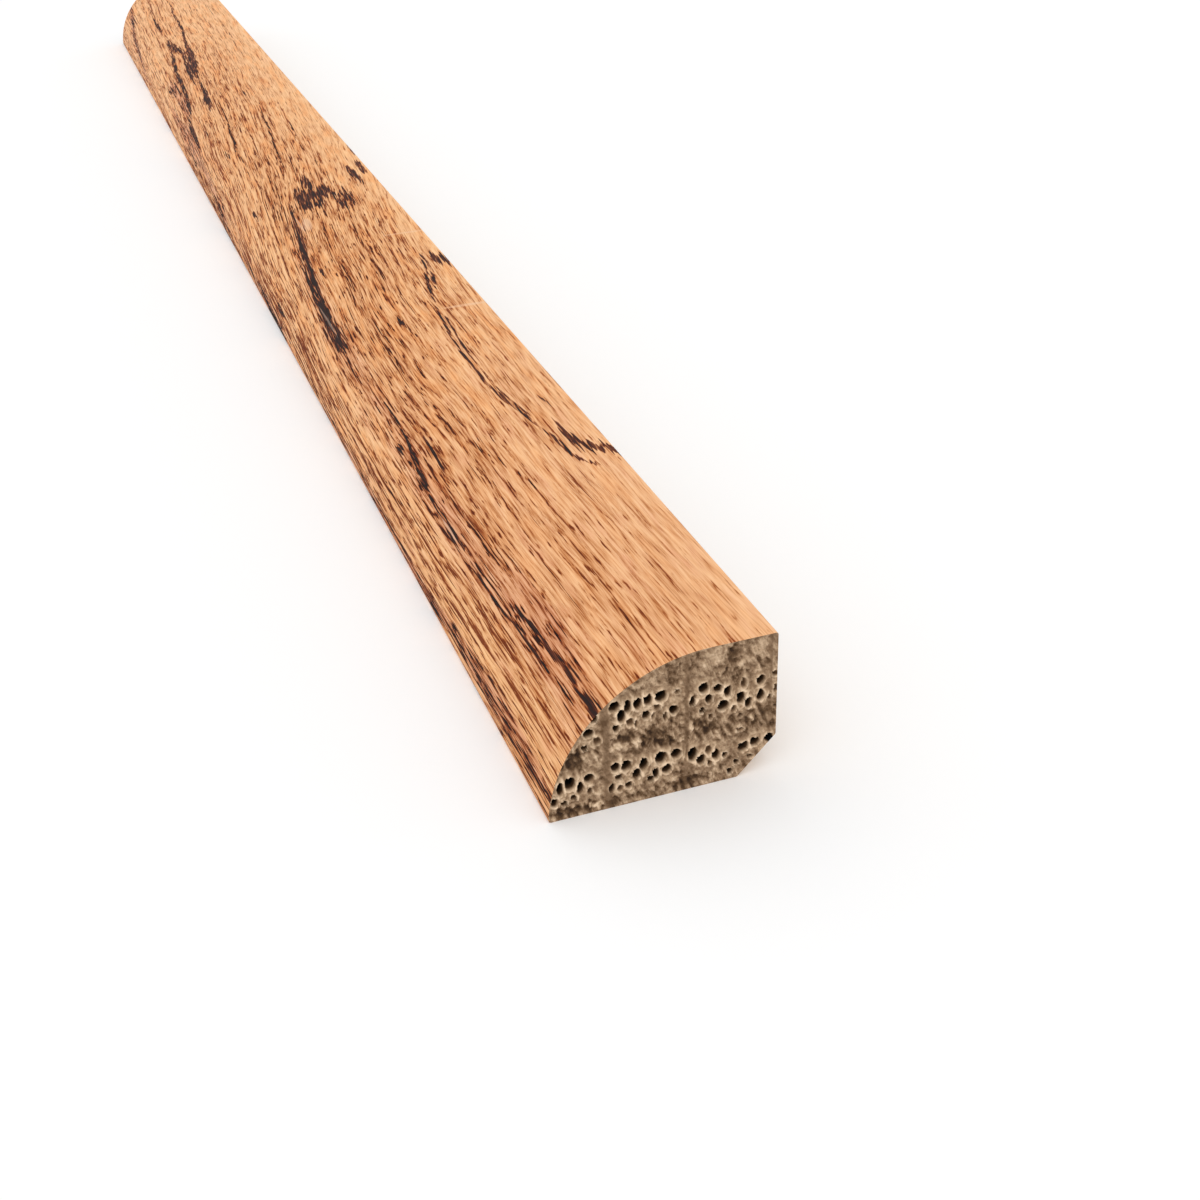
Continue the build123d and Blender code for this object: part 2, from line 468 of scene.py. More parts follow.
def swing(tree, pattern, reach):
    """Noise from 0 to 1 as a shift to both sides, by half the reach at most."""
    return times(tree, less(tree, pattern, 0.5), reach)


def colour(red, green, blue):
    """A colour given in the 0 to 255 steps of a screen, as linear light."""
    def linear(step):
        share = step / 255
        return share / 12.92 if share <= 0.04045 else ((share + 0.055) / 1.055) ** 2.4
    return (linear(red), linear(green), linear(blue), 1.0)


def ramp(tree, value, stops):
    """Linear colours at given values, blended between them."""
    node = tree.nodes.new("ShaderNodeValToRGB")
    start, end = stops[0][0], stops[-1][0]
    elements = node.color_ramp.elements
    elements[0].color = stops[0][1]
    elements[1].color = stops[-1][1]
    for at, tint in stops[1:-1]:
        elements.new((at - start) / (end - start)).color = tint
    tree.links.new(rescale(tree, value, start, end), node.inputs[0])
    return node.outputs[0]


def tints(tree, value, stops):
    """Screen colours at given values, each stop as the value, red, green and blue."""
    return ramp(tree, value, [(at, colour(*tint)) for at, *tint in stops])


def levels(tree, value, stops):
    """Plain levels at given values, blended between them."""
    return ramp(tree, value, [(at, (level, level, level, 1.0)) for at, level in stops])


def new_group(name, inputs, outputs):
    """Empty shader node group with float inputs, given as name and default, and float outputs."""
    tree = bpy.data.node_groups.new(name, "ShaderNodeTree")
    for label, default in inputs.items():
        socket = tree.interface.new_socket(name=label, in_out="INPUT", socket_type="NodeSocketFloat")
        socket.default_value = default
    for label in outputs:
        tree.interface.new_socket(name=label, in_out="OUTPUT", socket_type="NodeSocketFloat")
    return tree, tree.nodes.new("NodeGroupInput").outputs, tree.nodes.new("NodeGroupOutput").inputs


def place(tree, group, **values):
    """Put a group into a material or another group, with underscores for spaces in socket names."""
    node = tree.nodes.new("ShaderNodeGroup")
    node.node_tree = group
    for label, value in values.items():
        feed(tree, node.inputs[label.replace("_", " ").capitalize()], value)
    return node.outputs


def fit_curve(curve, points):
    """Replace the points of a curve, with smooth handles."""
    curve.points[0].location = points[0]
    curve.points[-1].location = points[-1]
    for point in points[1:-1]:
        curve.points.new(*point)
    for point in curve.points:
        point.handle_type = "AUTO_CLAMPED"


def grain_drift(tree, along):
    """How far the grain has moved down the face, in mm, at each distance from the near end."""
    start, end = GRAIN_DRIFT[0][0], GRAIN_DRIFT[-1][0]
    node = tree.nodes.new("ShaderNodeFloatCurve")
    node.mapping.use_clip = False
    reach = DRIFT_HIGH - DRIFT_LOW
    fit_curve(node.mapping.curves[0], [
        ((distance - start) / (end - start), (drift - DRIFT_LOW) / reach) for distance, drift in GRAIN_DRIFT
    ])
    node.mapping.update()
    tree.links.new(rescale(tree, along, start, end), node.inputs["Value"])
    return rescale(tree, node.outputs[0], 0.0, 1.0, DRIFT_LOW, DRIFT_HIGH)


def face_position_group():
    """Millimetres along the stock and down its face. Grain has the slow drift of the fibres taken
    out, and Frayed moves each strand of fibres a little along, so that stains end raggedly."""
    tree, _, made = new_group("face position", {}, ["Along", "Down", "Grain", "Frayed"])
    uv = tree.nodes.new("ShaderNodeUVMap")
    uv.uv_map = "grain"
    on_face = parted(tree, uv.outputs[0])
    along = times(tree, on_face[0], 1 / MM)
    down = times(tree, on_face[1], 1 / MM)
    wander = swing(tree, streaks(tree, along, down, 45.0, 16.0), 1.8)
    ripple = swing(tree, streaks(tree, along, down, 7.0, 2.5, 6.0), 0.2)
    grain = less(tree, plus(tree, down, wander, ripple), grain_drift(tree, along))
    strand = streaks(tree, along, grain, 16.0, 0.3, 8.0, detail=1.0)
    frayed = plus(tree, along, swing(tree, strand, 15.0))
    for name, value in {"Along": along, "Down": down, "Grain": grain, "Frayed": frayed}.items():
        tree.links.new(value, made[name])
    return tree


def pore_tick_group():
    """Short dark dashes along the grain: cut vessels filled with stain."""
    inputs = {
        "Along": 0, "Grain": 0, "Pitch along": 3, "Pitch across": 0.4, "Size": 0.3, "Share": 0.5, "Seed": 0,
    }
    tree, given, made = new_group("pore ticks", inputs, ["Mask"])
    wobble = swing(tree, streaks(tree, given["Along"], given["Grain"], 1.0, 0.5, detail=1.0), 0.22)
    across = over(tree, plus(tree, given["Grain"], wobble), given["Pitch across"])
    cells = tree.nodes.new("ShaderNodeTexVoronoi")
    cells.voronoi_dimensions = "2D"
    cells.inputs["Scale"].default_value = 1.0
    vector = joined(tree, over(tree, given["Along"], given["Pitch along"]), plus(tree, across, given["Seed"]))
    tree.links.new(vector, cells.inputs["Vector"])
    draws = tree.nodes.new("ShaderNodeSeparateColor")
    tree.links.new(cells.outputs["Color"], draws.inputs[0])
    chosen = calc(tree, "LESS_THAN", draws.outputs[0], given["Share"])
    size = times(tree, given["Size"], rescale(tree, draws.outputs[1], 0.0, 1.0, 0.55, 1.0))
    dash = rescale(tree, cells.outputs["Distance"], times(tree, size, 0.35), size, 1.0, 0.0)
    depth = rescale(tree, draws.outputs[2], 0.0, 1.0, 0.45, 1.0)
    tree.links.new(times(tree, dash, chosen, depth), made["Mask"])
    return tree


def figure_group():
    """How dark each fibre is: 0 is the palest wood and 1 a dark vessel. Depth is the middle level,
    Contrast the spread and Stain adds to both. Spots sets how many short dark vessels show, and a
    smaller Gap brings the dashes closer. Relief is the height of the fibres, full at 1."""
    inputs = {
        "Along": 0, "Grain": 0, "Depth": 0.17, "Contrast": 1, "Stain": 0, "Spots": 0.3, "Gap": 0.1, "Seed": 0,
    }
    tree, given, made = new_group("wood figure", inputs, ["Darkness", "Relief"])
    along, grain, seed = given["Along"], given["Grain"], given["Seed"]

    def layer(length, thickness, number, detail, roughness):
        layer_seed = plus(tree, seed, number)
        return less(tree, 0.5, streaks(tree, along, grain, length, thickness, layer_seed, detail, roughness))

    threads = times(tree, layer(4.4, 0.19, 0.3, 2.0, 0.6), 3.8)
    middle = times(tree, layer(9.0, 0.4, 3.7, 3.0, 0.65), 1.9)
    broad = times(tree, layer(40.0, 4.5, 7.1, 1.0, 0.5), 0.7)
    lined = layer(70.0, 0.5, 27.7, 2.0, 0.5)
    gap = less(tree, given["Gap"], times(tree, lined, 0.27))
    dashes = rescale(tree, layer(3.6, 0.26, 19.3, 3.0, 0.6), gap, plus(tree, gap, 0.15))
    long_dashes = layer(11.0, 0.22, 11.3, 2.0, 0.5)
    long_dashes = rescale(tree, long_dashes, plus(tree, gap, 0.06), plus(tree, gap, 0.17))
    ticks = place(tree, bpy.data.node_groups["pore ticks"], along=along, grain=grain, pitch_along=5.5,
                  pitch_across=0.7, size=0.22, share=given["Spots"], seed=seed)[0]
    marks = highest(tree, ticks, long_dashes, dashes)
    sunk = highest(tree, marks, rescale(tree, threads, -0.2, 0.9, 0.0, 0.6))
    tree.links.new(less(tree, 1.0, sunk), made["Relief"])

    broad = plus(tree, broad, times(tree, lined, 0.6))
    spread = plus(tree, plus(tree, threads, middle), plus(tree, broad, times(tree, marks, 1.4)))
    spread = calc(tree, "SMOOTH_MIN", times(tree, spread, given["Contrast"]), 1.7, 0.5)
    stain = times(tree, given["Stain"], plus(tree, 1.0, times(tree, spread, 0.25)))
    level = plus(tree, calc(tree, "LOGARITHM", given["Depth"], math.e), plus(tree, spread, stain))
    darkness = calc(tree, "SMOOTH_MIN", calc(tree, "EXPONENT", level), 1.8, 0.4)
    tree.links.new(darkness, made["Darkness"])
    return tree


def stroke_group():
    """One stain stroke: full on its centre line, fading out over its half width and at its ends."""
    inputs = {"Down": 0, "Share": 0, "Centre": 0, "Half width": 0, "Strength": 0}
    tree, given, made = new_group("stain stroke", inputs, ["Mask"])
    names = ("Centre", "Half width", "Strength")
    centre, half_width, strength = (
        times(tree, given[name], scale) for name, scale in zip(names, STROKE_SCALES)
    )
    apart = calc(tree, "ABSOLUTE", less(tree, given["Down"], centre))
    ridge = rescale(tree, over(tree, apart, half_width), 0.4, 2.0, 1.0, 0.0, smooth=True)
    off_centre = calc(tree, "ABSOLUTE", less(tree, given["Share"], 0.5))
    inside = rescale(tree, off_centre, 0.46, 0.5, 1.0, 0.0)
    tree.links.new(times(tree, ridge, strength, inside), made["Mask"])
    return tree


def patch_group():
    """One oval stain patch, full inside and fading out towards its half length and half width."""
    inputs = {
        "Along": 0, "Down": 0, "Centre along": 0, "Centre down": 0, "Half length": 1, "Half width": 1,
        "Strength": 1,
    }
    tree, given, made = new_group("stain patch", inputs, ["Mask"])
    along = over(tree, less(tree, given["Along"], given["Centre along"]), given["Half length"])
    down = over(tree, less(tree, given["Down"], given["Centre down"]), given["Half width"])
    apart = plus(tree, times(tree, along, along), times(tree, down, down))
    inside = rescale(tree, apart, 0.35, 1.7, 1.0, 0.0, smooth=True)
    tree.links.new(times(tree, inside, given["Strength"]), made["Mask"])
    return tree


def stroke_masks(tree, group, along, down, strokes):
    """Strongest of several strokes at each place."""
    strongest = 0.0
    for points in strokes.values():
        start, end = points[0][0], points[-1][0]
        share = rescale(tree, along, start, end)
        node = tree.nodes.new("ShaderNodeRGBCurve")
        node.mapping.use_clip = False
        for channel, scale in enumerate(STROKE_SCALES):
            shares = [((point[0] - start) / (end - start), point[channel + 1] / scale) for point in points]
            fit_curve(node.mapping.curves[channel], shares)
        node.mapping.update()
        tree.links.new(joined(tree, share, share, share), node.inputs["Color"])
        split = tree.nodes.new("ShaderNodeSeparateColor")
        tree.links.new(node.outputs[0], split.inputs[0])
        centre, half_width, strength = split.outputs
        mask = place(tree, group, down=down, share=share, centre=centre, half_width=half_width,
                     strength=strength)
        strongest = highest(tree, mask[0], strongest)
    return strongest


def patch_masks(tree, group, along, down, patches):
    """Strongest of several patches at each place."""
    strongest = 0.0
    for centre_along, centre_down, half_length, half_width, strength in patches:
        mask = place(tree, group, along=along, down=down, centre_along=centre_along, centre_down=centre_down,
                     half_length=half_length, half_width=half_width, strength=strength)
        strongest = highest(tree, mask[0], strongest)
    return strongest


def new_material(name):
    """Node material with one Principled shader."""
    material = bpy.data.materials.new(name)
    material.use_nodes = True
    return material, material.node_tree, material.node_tree.nodes["Principled BSDF"]


def relief(tree, shader, height, distance):
    """Bump from a height that is full at 1."""
    bump = tree.nodes.new("ShaderNodeBump")
    bump.inputs["Strength"].default_value = 1.0
    bump.inputs["Distance"].default_value = distance
    tree.links.new(height, bump.inputs["Height"])
    tree.links.new(bump.outputs["Normal"], shader.inputs["Normal"])


def face_marks(tree, groups, along, down, grain, frayed):
    """Masks of the marks on the finished face: black strokes, brown staining, the stain of the
    thinner lines and shaded areas, and pale spots, scratches and thin painted highlights."""
    stroke, patch = groups["stain stroke"], groups["stain patch"]
    a_little_frayed = plus(tree, times(tree, along, 0.8), times(tree, frayed, 0.2))
    half_frayed = times(tree, plus(tree, along, frayed), 0.5)
    swayed = plus(tree, down, swing(tree, streaks(tree, along, down, 6.0, 1.5, 9.0), 0.45))

    solid_black = highest(tree, stroke_masks(tree, stroke, a_little_frayed, swayed, BLACK_STROKES),
                          patch_masks(tree, patch, half_frayed, swayed, DARK_PATCHES))
    split_up = swing(tree, streaks(tree, along, grain, 2.8, 0.22, 5.0), 3.6)
    strongest = calc(tree, "MINIMUM", times(tree, solid_black, 1.3), 1.0)
    black = rescale(tree, plus(tree, solid_black, split_up), 0.5, 1.15, 0.0, strongest)

    brown = stroke_masks(tree, stroke, frayed, swayed, BROWN_STROKES)
    lines = stroke_masks(tree, stroke, along, swayed, GRAIN_LINES)
    # Pale marks: rubbed spots and scratches, and thin painted highlights along the dark strokes.
    pale = patch_masks(tree, patch, along, swayed, PALE_MARKS)
    stain = highest(tree, times(tree, brown, 0.65), times(tree, lines, 0.9))
    stain = less(tree, stain, times(tree, pale, 1.2))
    stain = plus(tree, stain, patch_masks(tree, patch, frayed, down, SHADED_AREAS))
    return black, brown, stain, pale


def finished_wood(groups):
    """Stained face with a thin satin finish: orange-tan wood, dark fibres and black mineral strokes."""
    material, tree, shader = new_material("finished_face")
    position = place(tree, groups["face position"])
    along, down, grain, frayed = (position[name] for name in ("Along", "Down", "Grain", "Frayed"))
    black, brown, stain, pale = face_marks(tree, groups, along, down, grain, frayed)

    depth = times(tree, levels(tree, down, FACE_DEPTH), rescale(tree, along, 90.0, 240.0, 1.0, 0.75))
    spots = times(tree, levels(tree, down, FACE_SPOTS), rescale(tree, along, 110.0, 190.0, 1.0, 0.35))
    contrast = times(tree, levels(tree, along, FACE_CONTRAST), rescale(tree, down, 15.0, 21.0, 1.0, 1.45))
    figure = place(tree, groups["wood figure"], along=along, grain=grain, depth=depth, contrast=contrast,
                   stain=stain, spots=spots, gap=levels(tree, down, FACE_GAP))
    deepened = times(tree, figure["Darkness"], plus(tree, 1.0, times(tree, black, 2.6)))
    darkness = plus(tree, deepened, times(tree, black, 0.55))
    body = tints(tree, darkness, FINISHED_TINTS)

    hue = streaks(tree, along, grain, 8.0, 1.4, 4.0, 3.0, 0.6)
    yellow = rescale(tree, hue, 0.46, 0.66, 0.0, rescale(tree, along, 25.0, 80.0, 0.2, 0.45))
    body = blend(tree, yellow, body, colour(255, 205, 120), "MULTIPLY")
    pink = rescale(tree, hue, 0.48, 0.3, 0.0, rescale(tree, along, 40.0, 100.0, 0.35, 0.12))
    body = blend(tree, pink, body, colour(240, 205, 215), "MULTIPLY")
    golden = highest(tree, rescale(tree, along, 30.0, 110.0), rescale(tree, down, 18.0, 22.0))
    body = blend(tree, golden, body, colour(255, 254, 244), "MULTIPLY")
    purple = highest(tree, times(tree, brown, 0.6), times(tree, black, 0.45))
    body = blend(tree, times(tree, purple, 0.7), body, colour(218, 188, 232), "MULTIPLY")
    body = blend(tree, times(tree, black, 0.55), body, colour(52, 40, 38))
    # Pale marks laid on: rubbed spots and scratches, and thin painted highlights along the dark strokes.
    body = blend(tree, times(tree, pale, 0.5), body, colour(222, 196, 176))

    tree.links.new(body, shader.inputs["Base Color"])
    tree.links.new(rescale(tree, darkness, 0.1, 1.0, 0.42, 0.65), shader.inputs["Roughness"])
    relief(tree, shader, figure["Relief"], FIBRE_RELIEF)
    shader.inputs["Specular IOR Level"].default_value = 0.05
    return material


def bare_wood(groups):
    """Milled but unfinished faces: pale tan, with knife marks and a little stain over the edges."""
    material, tree, shader = new_material("bare_milled")
    position = place(tree, groups["face position"])
    along, down, grain = position["Along"], position["Down"], position["Grain"]
    figure = place(tree, groups["wood figure"], along=along, grain=grain, depth=0.24, contrast=0.85,
                   spots=0.4, seed=21.0)
    body = tints(tree, figure["Darkness"], BARE_TINTS)
    knife = tree.nodes.new("ShaderNodeTexWave")
    knife.inputs["Scale"].default_value = 1.0
    knife.inputs["Distortion"].default_value = 0.6
    tree.links.new(joined(tree, over(tree, along, KNIFE_PITCH)), knife.inputs["Vector"])
    body = blend(tree, times(tree, knife.outputs["Fac"], 0.07), body, colour(120, 88, 60))

    ragged = times(tree, streaks(tree, along, 0.0, 3.0, 1.0, 2.0, 3.0, 0.6), 1.6)
    over_wall_edge = rescale(tree, plus(tree, down, ragged), 0.1, 0.9)
    toe_edge = -(WALL_WIDTH + HEEL_WIDTH + WALL_X - HEEL_CHAMFER - TOE_X) / MM
    over_toe_edge = rescale(tree, less(tree, down, ragged), toe_edge, toe_edge - 0.8)
    body = blend(tree, highest(tree, over_wall_edge, over_toe_edge), body, colour(214, 150, 100))
    tree.links.new(body, shader.inputs["Base Color"])
    shader.inputs["Roughness"].default_value = 0.7
    shader.inputs["Specular IOR Level"].default_value = 0.25
    height = plus(tree, times(tree, knife.outputs["Fac"], 0.5), figure["Relief"])
    relief(tree, shader, height, FIBRE_RELIEF)
    return material


def mesh_value(tree, name):
    """A value stored on the mesh's points."""
    node = tree.nodes.new("ShaderNodeAttribute")
    node.attribute_name = name
    return node.outputs["Fac"]


def end_grain():
    """Sawn ends: grey-brown wood with pale rims round the vessels. The vessels are painted brown, then black,
    as they deepen, and the torn grain paler where it stands higher and darker where it lies lower: painted
    shade.
    """
    material, tree, shader = new_material("sawn_end_grain")
    on_cut = parted(tree, tree.nodes.new("ShaderNodeTexCoord").outputs["Object"])
    across = times(tree, on_cut[0], 1 / MM)
    up = times(tree, on_cut[2], 1 / MM)
    slant = plus(tree, across, times(tree, up, 0.4))
    torn = swing(tree, streaks(tree, slant, up, 0.4, 1.4, 0.0, 3.0, 0.6), 1.7)
    specks = swing(tree, streaks(tree, across, up, 0.55, 0.5, 3.0, 3.0, 0.7), 2.2)
    calmed = plus(tree, times(tree, mesh_value(tree, "end_tearing"), 0.75), 0.25)
    # Painted shade: the torn grain's noise raises the surface in the bump and also paints it, paler where it
    # stands higher and darker where it lies lower.
    tear_and_shade = times(tree, plus(tree, torn, specks), calmed)
    body = tints(tree, plus(tree, mesh_value(tree, "end_tone"), tear_and_shade), SAWN_TINTS)
    # Painted shade in the vessels: brown on their shallow walls and black deeper down, by their depth.
    hollow = mesh_value(tree, "pore_depth")
    body = blend(tree, rescale(tree, hollow, 0.04, 0.3), body, colour(92, 66, 42))
    body = blend(tree, rescale(tree, hollow, 0.2, 0.6), body, colour(5, 4, 3))
    tree.links.new(body, shader.inputs["Base Color"])
    shader.inputs["Roughness"].default_value = 0.75
    shader.inputs["Specular IOR Level"].default_value = 0.2
    relief(tree, shader, tear_and_shade, TEAR_RELIEF)
    return material


def eased_corner(corner, before, after):
    """Arc of the sanded easing at a corner of the section, between its two neighbours."""
    back = (before - corner).normalized()
    ahead = (after - corner).normalized()
    half_angle = back.angle(ahead) / 2
    centre = corner + (back + ahead).normalized() * ARRIS_RADIUS / math.sin(half_angle)
    setback = ARRIS_RADIUS / math.tan(half_angle)
    start = (corner + back * setback - centre).normalized()
    end = (corner + ahead * setback - centre).normalized()
    return [centre + start.slerp(end, step / ARRIS_STEPS) * ARRIS_RADIUS for step in range(ARRIS_STEPS + 1)]


def section_outline():
    """Closed outline across the grain, anticlockwise seen from the near end, as (x, z) points."""
    toe_top = Vector((TOE_X, FLOOR_Z + TOE_LAND))
    toe_foot = Vector((TOE_X, FLOOR_Z))
    heel_on_floor = Vector((WALL_X - HEEL_CHAMFER, FLOOR_Z))
    heel_on_wall = Vector((WALL_X, FLOOR_Z + HEEL_CHAMFER))
    wall_top = Vector((WALL_X, TOP_Z))
    crown = Vector((CROWN_X, TOP_Z))
    corners = [toe_top, toe_foot, heel_on_floor, heel_on_wall, wall_top, crown]
    outline = []
    for before, corner, after in zip(corners, corners[1:], corners[2:]):
        outline += eased_corner(corner, before, after)
    for step in range(ROUND_STEPS + 1):
        angle = ROUND_ANGLE * step / ROUND_STEPS
        x = CROWN_X - ROUND_RADIUS * math.sin(angle)
        outline.append(Vector((x, ROUND_CENTRE_Z + ROUND_RADIUS * math.cos(angle))))
    return outline


def cut_face(bm):
    """Fine grid in the near end's plane, trimmed to the section."""
    width = WALL_X - TOE_X
    height = TOP_Z - FLOOR_Z
    middle = Vector(((WALL_X + TOE_X) / 2, NEAR_Y, (TOP_Z + FLOOR_Z) / 2))
    upright = Matrix.Rotation(math.pi / 2, 4, "X") @ Matrix.Diagonal((width, height, 1, 1))
    bmesh.ops.create_grid(
        bm, x_segments=round(width / CUT_CELL), y_segments=round(height / CUT_CELL), size=0.5,
        matrix=Matrix.Translation(middle) @ upright,
    )
    outline = section_outline()
    for start, end in zip(outline, outline[1:] + outline[:1]):
        run = (end - start).normalized()
        bmesh.ops.bisect_plane(
            bm, geom=bm.verts[:] + bm.edges[:] + bm.faces[:], dist=1e-8,
            plane_co=(start.x, NEAR_Y, start.y), plane_no=(run.y, 0, -run.x), clear_outer=True,
        )
    bmesh.ops.remove_doubles(bm, verts=bm.verts[:], dist=MERGE_DISTANCE)


def pull_to_length(bm):
    """Extrude the near cut along the grain and divide the long faces."""
    pulled = bmesh.ops.extrude_face_region(bm, geom=bm.faces[:])
    far_verts = [item for item in pulled["geom"] if isinstance(item, bmesh.types.BMVert)]
    bmesh.ops.translate(bm, verts=far_verts, vec=(0, LENGTH, 0))
    long_edges = [edge for edge in bm.edges if abs(edge.verts[0].co.y - edge.verts[1].co.y) > LENGTH / 2]
    bmesh.ops.subdivide_edges(bm, edges=long_edges, cuts=LENGTH_STEPS - 1, use_grid_fill=True)
    bmesh.ops.recalc_face_normals(bm, faces=bm.faces[:])


def down_face(run, x, z):
    """Distance down the face from the wall edge for a point of one run, negative past that edge."""
    if run == "top":
        return WALL_X - x
    if run == "round":
        return TOP_FLAT + ROUND_RADIUS * math.atan2(CROWN_X - x, z - ROUND_CENTRE_Z)
    if run == "land":
        return FACE_WIDTH - (z - FLOOR_Z)
    if run == "wall":
        return z - TOP_Z
    if run == "heel":
        return -WALL_WIDTH - math.hypot(x - WALL_X, z - FLOOR_Z - HEEL_CHAMFER)
    return -WALL_WIDTH - HEEL_WIDTH - (WALL_X - HEEL_CHAMFER - x)


def run_of(face):
    """Which run of the section a long face belongs to, from where it looks. The limits lie halfway
    between the directions of neighbouring runs."""
    turn = math.degrees(math.atan2(face.normal.z, face.normal.x))
    if -22.5 < turn <= 45:
        return "wall"
    if -67.5 < turn <= -22.5:
        return "heel"
    if -135 < turn <= -67.5:
        return "floor"
    centre = face.calc_center_median()
    if centre.x > CROWN_X:
        return "top"
    return "round" if centre.z > FLOOR_Z + TOE_LAND else "land"


def lay_out_grain(bm):
    """Grain map in metres along the stock and down its face, and a material for each face."""
    grain = bm.loops.layers.uv.new("grain")
    for face in bm.faces:
        ends = [loop.vert.co.y for loop in face.loops]
        if max(ends) - min(ends) < CUT_CELL / 2:
            face.material_index = SAWN
            for loop in face.loops:
                loop[grain].uv = (loop.vert.co.x, loop.vert.co.z)
            continue
        run = run_of(face)
        face.material_index = FINISHED if run in ("top", "round", "land") else BARE
        for loop in face.loops:
            x, y, z = loop.vert.co
            loop[grain].uv = (y - NEAR_Y, down_face(run, x, z))


def smooth_step(start, end, value):
    """0 at start, 1 at end, with a soft turn at both."""
    share = min(max((value - start) / (end - start), 0.0), 1.0)
    return share * share * (3 - 2 * share)


def search_tree(verts):
    """Tree that finds the points near a place."""
    tree = kdtree.KDTree(len(verts))
    for index, vert in enumerate(verts):
        tree.insert(vert.co, index)
    tree.balance()
    return tree


def points_by_ovals(tree, cut_y, ovals, reach):
    """Points of a cut within some half sizes of each oval: the point's number and place, how many
    half sizes it is off the oval's centre, and the oval's own value."""
    for across, up, half_width, half_height, value in ovals:
        centre = Vector((across * MM, cut_y, up * MM))
        for spot, index, _ in tree.find_range(centre, max(half_width, half_height) * reach * MM):
            off_x = (spot.x - centre.x) / (half_width * MM)
            off_z = (spot.z - centre.z) / (half_height * MM)
            yield index, spot, math.hypot(off_x, off_z), value


def vessels_on_cut(tree, count, cut_y, vessels, seed):
    """For each point, how many half sizes off the nearest and the next vessel are, and its depth."""
    nearest = [NO_VESSEL] * count
    second = [NO_VESSEL] * count
    depths = [0.0] * count
    for index, spot, apart, depth in points_by_ovals(tree, cut_y, vessels, VESSEL_REACH):
        uneven = noise.noise(Vector((spot.x, spot.z, 0)) * (2.2 / MM) + Vector((0, 0, seed)))
        apart *= 1 + 0.16 * uneven
        second[index] = min(second[index], max(nearest[index], apart))
        nearest[index] = min(nearest[index], apart)
        depths[index] = max(depths[index], depth * smooth_step(1.22, 0.85, apart))
    return nearest, second, depths


def patches_on_cut(tree, count, cut_y, patches, seed):
    """Tone of the torn hollows and plateaus at each point."""
    tones = [0.0] * count
    for index, spot, apart, tone in points_by_ovals(tree, cut_y, patches, PATCH_REACH):
        spot = Vector((spot.x * 2.2, spot.z * 0.9, 0)) / MM + Vector((0, 0, seed + 5))
        apart *= 1 + 0.9 * noise.fractal(spot, 0.8, 2.0, 3)
        tones[index] += tone * smooth_step(1.3, 0.5, apart)
    return tones


def ray_at(x, z):
    """How much of a ray runs through a place on the cut, in mm."""
    return max(
        smooth_step(half * 1.6, half * 0.6, abs(x - foot - (head - foot) * z * MM / TOP_Z))
        for foot, head, half in RAYS
    )


def carve_cut(bm, cut_y, inward, vessels, patches, seed):
    """Shape one sawn end: vessels with raised rims, torn wood between them and smooth rays."""
    depth_layer = bm.verts.layers.float["pore_depth"]
    tone_layer = bm.verts.layers.float["end_tone"]
    calm_layer = bm.verts.layers.float["end_tearing"]
    verts = [vert for vert in bm.verts if abs(vert.co.y - cut_y) < CUT_CELL / 10]
    tree = search_tree(verts)
    edge_verts = [vert for vert in verts if any(face.material_index != SAWN for face in vert.link_faces)]
    border = search_tree(edge_verts)
    to_border = [border.find(vert.co)[2] / MM for vert in verts]
    nearest, second, depths = vessels_on_cut(tree, len(verts), cut_y, vessels, seed)
    patch_tones = patches_on_cut(tree, len(verts), cut_y, patches, seed)

    measures = zip(verts, to_border, nearest, second, depths, patch_tones)
    for vert, edge, apart, next_apart, depth, patched in measures:
        x, z = vert.co.x / MM, vert.co.z / MM
        rough = noise.fractal(Vector((x * 0.9, z * 0.9, seed)), 0.9, 2.0, 4)
        grit = noise.fractal(Vector((x * 2.6 + z * 1.2, z * 1.3, seed + 3)), 0.8, 2.0, 3)

        # Rims round the vessels, walls between close ones and the finer wood beside them
        outside = smooth_step(0.95, 1.2, apart)
        rim = smooth_step(1.8, 1.35, apart) * outside * min(max(0.8 + grit, 0.25), 1.3)
        wall = smooth_step(0.6, 0.1, next_apart - apart) * smooth_step(2.6, 1.7, apart) * outside
        foam = smooth_step(2.9, 1.5, apart)
        ray = ray_at(x, z)
        calm = (1 - 0.6 * ray) * (1 - 0.6 * foam)

        # The dense wood in the middle and along the floor tore most
        dense = smooth_step(3.9, 4.8, z) * smooth_step(7.2, 6.2, z) + smooth_step(1.3, 0.6, z)
        # Painted shade: the tone follows the height. Rough wood and plateaus that stand higher are painted
        # paler and lower wood darker, and the raised rims and walls are paler both as wood and as painted
        # highlight, on top of the wood's own tone and its darker rays.
        wood = 0.45 * rough + (0.45 + 0.4 * dense) * grit + 0.85 * patched - 0.08 * dense
        tone = 0.7 * rim + 0.85 * wall + 0.05 * foam + wood * calm - 0.35 * ray
        tone += 0.35 * max(patched, 0) * calm
        raised = (0.12 * rough + 0.2 * grit + 0.12 * min(patched, 0.8)) * calm + 0.05 * ray
        inner = CUT_SETBACK - raised * MM - RIM_RISE * max(rim, wall)
        held = smooth_step(0.0, 0.35, edge)
        sunk = EDGE_SETBACK * (1 - held) + inner * held + depth * MM * smooth_step(0.0, 0.15, edge)
        vert[calm_layer] = calm
        vert[depth_layer] = min(depth * MM / OPEN_DEPTH, 1.0)
        vert[tone_layer] = tone
        vert.co.y = cut_y + inward * max(sunk, LEAST_SETBACK)


